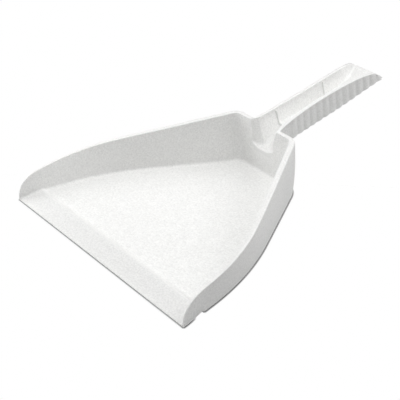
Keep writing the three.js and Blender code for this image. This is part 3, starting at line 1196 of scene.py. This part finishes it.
@dataclass
class Moulding:
    """The whole pan as the one moulding it is.

    Attributes:
        tray: Its tray.
        handle: Its handle.
        finish: Its plastic.
    """

    tray: Tray
    handle: Handle
    finish: MouldedPlastic
    # Largest angle shaded smooth, in degrees, and the weight of the larger faces in the shading, in percent.
    smooth_angle: float = 32.0
    shading_weight: int = 50
    # The doorway's crisp edge: how far behind the wall's face, and the reach about that. Half width, low end.
    doorway_face: Place = (0.2, 0.7)
    doorway_half: float = 27.0
    doorway_low: float = 30.0
    # Masks: how far the floor's texture goes above the crest and the ramp's painted shade behind it, the
    # burnished band above the floor, and the outward turn, in radians, at which an edge starts to wear and is
    # fully worn.
    floor_band: float = 1.5
    crest_past: float = 1.0
    fillet_band: Place = (0.15, 3.4)
    wear_turn: Place = (0.1, 0.8)

    def shape(self) -> bpy.types.Object:
        """Joins and hollows the moulding.

        Returns:
            The piece, in the frame's place.
        """
        tray, handle = self.tray, self.handle
        shell = tray.inside(tray.wall)
        trough_shell = handle.trough_shell()
        hollow = tray.outside(tray.wall)
        combine(hollow, handle.hollow(), Join.ADD)
        combine(hollow, shell, Join.CUT)
        combine(hollow, trough_shell, Join.CUT, keep=True)
        far = tray.beside
        behind = block("behind", (-far, handle.shell_front, -tray.below), (far, handle.end + far, far))
        combine(trough_shell, behind, Join.KEEP)
        pan = tray.outside(0)
        combine(pan, handle.outside(), Join.ADD)
        combine(pan, trough_shell, Join.ADD)
        combine(pan, tray.inside(0), Join.CUT)
        combine(pan, handle.trough_space(), Join.CUT)
        combine(pan, hollow, Join.CUT)
        combine(pan, tray.under_ramp(), Join.CUT)
        for y in handle.ribs:
            combine(pan, handle.rib(y), Join.ADD)
        pan.name = pan.data.name = "pan_moulding"
        pan.data.transform(Matrix.Translation((0, -handle.end / 2 * MM, 0)))
        return pan

    def layout(self, pan: bpy.types.Object) -> np.ndarray:
        """Gives the mesh's corners as they are laid out, with the lip at Y = 0.

        Args:
            pan: The moulding, in the frame's place.

        Returns:
            Their places, in millimetres.
        """
        return np.array([v.co for v in pan.data.vertices]) / MM + np.array((0, self.handle.end / 2, 0))

    def clean_mesh(self, pan: bpy.types.Object) -> None:
        """Cleans the mesh, drops loose slivers and shades it smooth.

        Args:
            pan: The joined moulding.
        """
        shape = bmesh.new()
        shape.from_mesh(pan.data)
        bmesh.ops.remove_doubles(shape, verts=shape.verts, dist=MESH_MERGE)
        bmesh.ops.dissolve_degenerate(shape, dist=MESH_MERGE, edges=shape.edges)
        for island in islands(shape)[1:]:
            bmesh.ops.delete(shape, geom=island, context="VERTS")
        bmesh.ops.recalc_face_normals(shape, faces=shape.faces)
        shape.to_mesh(pan.data)
        shape.free()
        use_only(pan)
        bpy.ops.object.shade_smooth_by_angle(angle=math.radians(self.smooth_angle))
        self.crisp_doorway(pan)
        step = pan.modifiers.new("even_shading", "WEIGHTED_NORMAL")
        step.keep_sharp = True
        step.weight = self.shading_weight
        bpy.ops.object.modifier_apply(modifier=step.name)

    def crisp_doorway(self, pan: bpy.types.Object) -> None:
        """Keeps the edge where the doorway's bevel meets the back wall's face crisp.

        Args:
            pan: The smoothed moulding.
        """
        x, y, z = self.layout(pan).T
        behind, reach = self.doorway_face
        near = np.abs(y - self.handle.wall_face - behind) < reach
        near &= (np.abs(x) < self.doorway_half) & (z > self.doorway_low)
        for edge in pan.data.edges:
            if near[edge.vertices[0]] and near[edge.vertices[1]]:
                edge.use_edge_sharp = True

    def paint_masks(self, pan: bpy.types.Object) -> None:
        """Stores the masks: the floor's coarser texture, the ramp's painted shade, the burnished fillet, the
        edge wear.

        Args:
            pan: The finished mesh.
        """
        tray = self.tray
        places = self.layout(pan)
        _, y, z = places.T
        low = z < tray.crest_height + self.floor_band
        ahead = y < tray.crest + self.crest_past
        bottom, top = self.fillet_band
        fillet = (z > tray.floor_top + bottom) & (z < tray.floor_top + top)
        masks = {
            Mask.TEXTURED: low & ~ahead,
            # The lip strip and ramp, which get the painted shade.
            Mask.SHADED_RAMP: low & ahead,
            Mask.BURNISHED: fillet & ~ahead & self.inside_tray(places),
            Mask.WORN: self.edge_wear(pan.data),
        }
        for mask, values in masks.items():
            attribute = pan.data.attributes.new(mask.value, "FLOAT", "POINT")
            attribute.data.foreach_set("value", values.astype(np.float32))

    def edge_wear(self, mesh: bpy.types.Mesh) -> np.ndarray:
        """Finds the wear at each corner from how sharply its edges turn outwards.

        Args:
            mesh: The finished mesh.

        Returns:
            The wear, from 0 to 1.
        """
        least, full = self.wear_turn
        wear = np.zeros(len(mesh.vertices))
        shape = bmesh.new()
        shape.from_mesh(mesh)
        for edge in shape.edges:
            turn = edge.calc_face_angle_signed(0.0)
            if turn > least:
                for vertex in edge.verts:
                    wear[vertex.index] = max(wear[vertex.index], min(turn / full, 1.0))
        shape.free()
        return wear

    def inside_tray(self, places: np.ndarray) -> np.ndarray:
        """Tells which places are on the tray's inner side.

        Args:
            places: Places as they are laid out, in millimetres.

        Returns:
            A mask.
        """
        tray = self.tray
        outline = np.array(tray.skirt)
        order = np.argsort(outline[:, 1], kind="stable")
        x, y, _ = places.T
        reach = np.interp(y, outline[order, 1], outline[order, 0]) - 2 * tray.wall
        return (np.abs(x) < reach) & (y < self.handle.wall_face + 2) & (y > tray.step_end)

    def build(self) -> None:
        """Builds the moulding and ties it to the frame."""
        pan = self.shape()
        self.clean_mesh(pan)
        self.paint_masks(pan)
        pan.data.materials.clear()
        pan.data.materials.append(self.finish.build())
        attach(pan, "root")
        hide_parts(*[region.value for region in Region])
        log.info("pan moulding: %d faces", len(pan.data.polygons))


# ---- The studio ----


def aim_at(thing: bpy.types.Object, target: Point, azimuth: float, elevation: float, distance: float) -> None:
    """Places a light or the camera, aims it and adds it to the scene.

    Args:
        thing: The light or camera.
        target: What it is aimed at.
        azimuth: Its angle round the target, in degrees. From 0 the view is along +Y.
        elevation: Its angle above the ground, in degrees.
        distance: How far away it is, in metres.
    """
    a, e = math.radians(azimuth), math.radians(elevation)
    back = Vector((math.sin(a) * math.cos(e), -math.cos(a) * math.cos(e), math.sin(e)))
    thing.location = Vector(target) + back * distance
    thing.rotation_mode = "QUATERNION"
    thing.rotation_quaternion = (-back).to_track_quat("-Z", "Y")
    bpy.context.scene.collection.objects.link(thing)


@dataclass(frozen=True)
class SoftLight:
    """A large soft round light aimed at the pan.

    Attributes:
        name: Its name.
        azimuth: Direction it comes from, in degrees, as the camera's.
        elevation: Its angle above the ground.
        distance: How far away it is, in metres.
        size: Its width, in metres.
        power: Its power in watts.
    """

    name: str
    azimuth: float
    elevation: float
    distance: float
    size: float
    power: float

    def build(self, target: Point) -> None:
        """Makes the light.

        Args:
            target: What it is aimed at.
        """
        data = bpy.data.lights.new(self.name, "AREA")
        data.shape = "DISK"
        data.size = self.size
        data.energy = self.power
        lamp = bpy.data.objects.new(self.name, data)
        aim_at(lamp, target, self.azimuth, self.elevation, self.distance)


@dataclass
class Studio:
    """A plain pale floor, soft lights and the camera.

    Attributes:
        azimuth: The camera's angle round the pan, in degrees.
        elevation: Its angle above the ground.
        distance: Its distance from the aimed point, in metres.
        aim: The aimed point.
        lens: Its focal length, in millimetres.
        sensor: Width of its sensor, in millimetres.
        near_clip: The nearest thing it shows, in metres.
        floor_size: Width of the floor, in metres.
        floor_drop: How far the floor lies below the pan.
        floor_tone: How pale the floor is to light that bounces off it.
        floor_roughness: Its roughness.
        contact_reach: How close to the floor the pan darkens it, in metres.
        contact_depth: How dark that contact shade is.
        ambient: Strength of the even light all round.
        lights: The soft lights.
    """

    azimuth: float = 48.42
    elevation: float = 34.39
    distance: float = 1.0872
    aim: Point = (-0.00636, -0.06625, 0.0)
    lens: float = 80.91
    sensor: float = 36.0
    near_clip: float = 0.01
    floor_size: float = 60.0
    floor_drop: float = 0.0002
    floor_tone: float = 0.6
    floor_roughness: float = 0.9
    contact_reach: float = 0.0022
    contact_depth: float = 3.0
    ambient: float = 0.02
    lights: tuple[SoftLight, ...] = (
        SoftLight("front_left", -58, 28, 0.95, 0.66, 4.1),
        SoftLight("front", 10, 45, 2.2, 1.6, 8.3),
        SoftLight("overhead", 0, 88, 2.2, 1.0, 11),
        SoftLight("high_right", 52, 68, 2.2, 0.8, 9.2),
        SoftLight("back_right", 140, 44, 2.2, 1.6, 16),
        SoftLight("back", 165, 30, 2.2, 1.6, 10),
        SoftLight("back_left", -150, 45, 2.2, 1.6, 5.8),
    )

    def floor_material(self) -> bpy.types.Material:
        """Builds the floor's material: white with a contact shade to the camera, pale to other light.

        It is clear from below, so that the pan's underside can be looked at.

        Returns:
            The material.
        """
        material = bpy.data.materials.new("studio_floor")
        material.use_nodes = True
        tree = material.node_tree
        links = tree.links
        paper = tree.nodes["Principled BSDF"]
        paper.inputs["Base Color"].default_value = (*[self.floor_tone] * 3, 1.0)
        paper.inputs["Roughness"].default_value = self.floor_roughness
        paper.inputs["Specular IOR Level"].default_value = 0.0
        near = add_node(tree, "AmbientOcclusion", {"Distance": self.contact_reach})
        deep = add_node(tree, "Math", {1: self.contact_depth}, operation="POWER")
        white = add_node(tree, "Emission")
        seen = add_node(tree, "LightPath")
        either = add_node(tree, "MixShader")
        below = add_node(tree, "NewGeometry")
        clear = add_node(tree, "BsdfTransparent")
        sided = add_node(tree, "MixShader")
        links.new(near.outputs["AO"], deep.inputs[0])
        links.new(deep.outputs[0], white.inputs["Strength"])
        links.new(seen.outputs["Is Camera Ray"], either.inputs["Fac"])
        links.new(paper.outputs["BSDF"], either.inputs[1])
        links.new(white.outputs["Emission"], either.inputs[2])
        links.new(below.outputs["Backfacing"], sided.inputs["Fac"])
        links.new(either.outputs["Shader"], sided.inputs[1])
        links.new(clear.outputs["BSDF"], sided.inputs[2])
        links.new(sided.outputs["Shader"], tree.nodes["Material Output"].inputs["Surface"])
        return material

    def build_floor(self) -> None:
        """Makes the pale floor."""
        deselect_all()
        bpy.ops.mesh.primitive_plane_add(size=self.floor_size)
        floor = bpy.context.active_object
        floor.name = "studio_floor"
        floor.location.z = -self.floor_drop
        floor.data.materials.append(self.floor_material())

    def build_world(self) -> None:
        """Makes the even light all round."""
        world = bpy.data.worlds.new("studio")
        world.use_nodes = True
        sky = world.node_tree.nodes["Background"]
        sky.inputs["Color"].default_value = WHITE
        sky.inputs["Strength"].default_value = self.ambient
        bpy.context.scene.world = world

    def build_camera(self) -> None:
        """Makes the camera and makes it the scene's."""
        data = bpy.data.cameras.new("camera")
        data.lens = self.lens
        data.sensor_width = self.sensor
        data.clip_start = self.near_clip
        camera = bpy.data.objects.new("camera", data)
        aim_at(camera, self.aim, self.azimuth, self.elevation, self.distance)
        bpy.context.scene.camera = camera

    def build(self) -> None:
        """Builds the whole studio."""
        self.build_floor()
        self.build_world()
        for light in self.lights:
            light.build(self.aim)
        self.build_camera()
        bpy.context.scene.view_settings.view_transform = "Standard"
        log.info("studio: %d lights", len(self.lights))


def main() -> None:
    """Builds the pan and the studio."""
    logging.basicConfig(level=logging.INFO, format="%(name)s: %(message)s")
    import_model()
    Moulding(Tray(), Handle(), MouldedPlastic()).build()
    Studio().build()


if __name__ == "__main__":
    main()
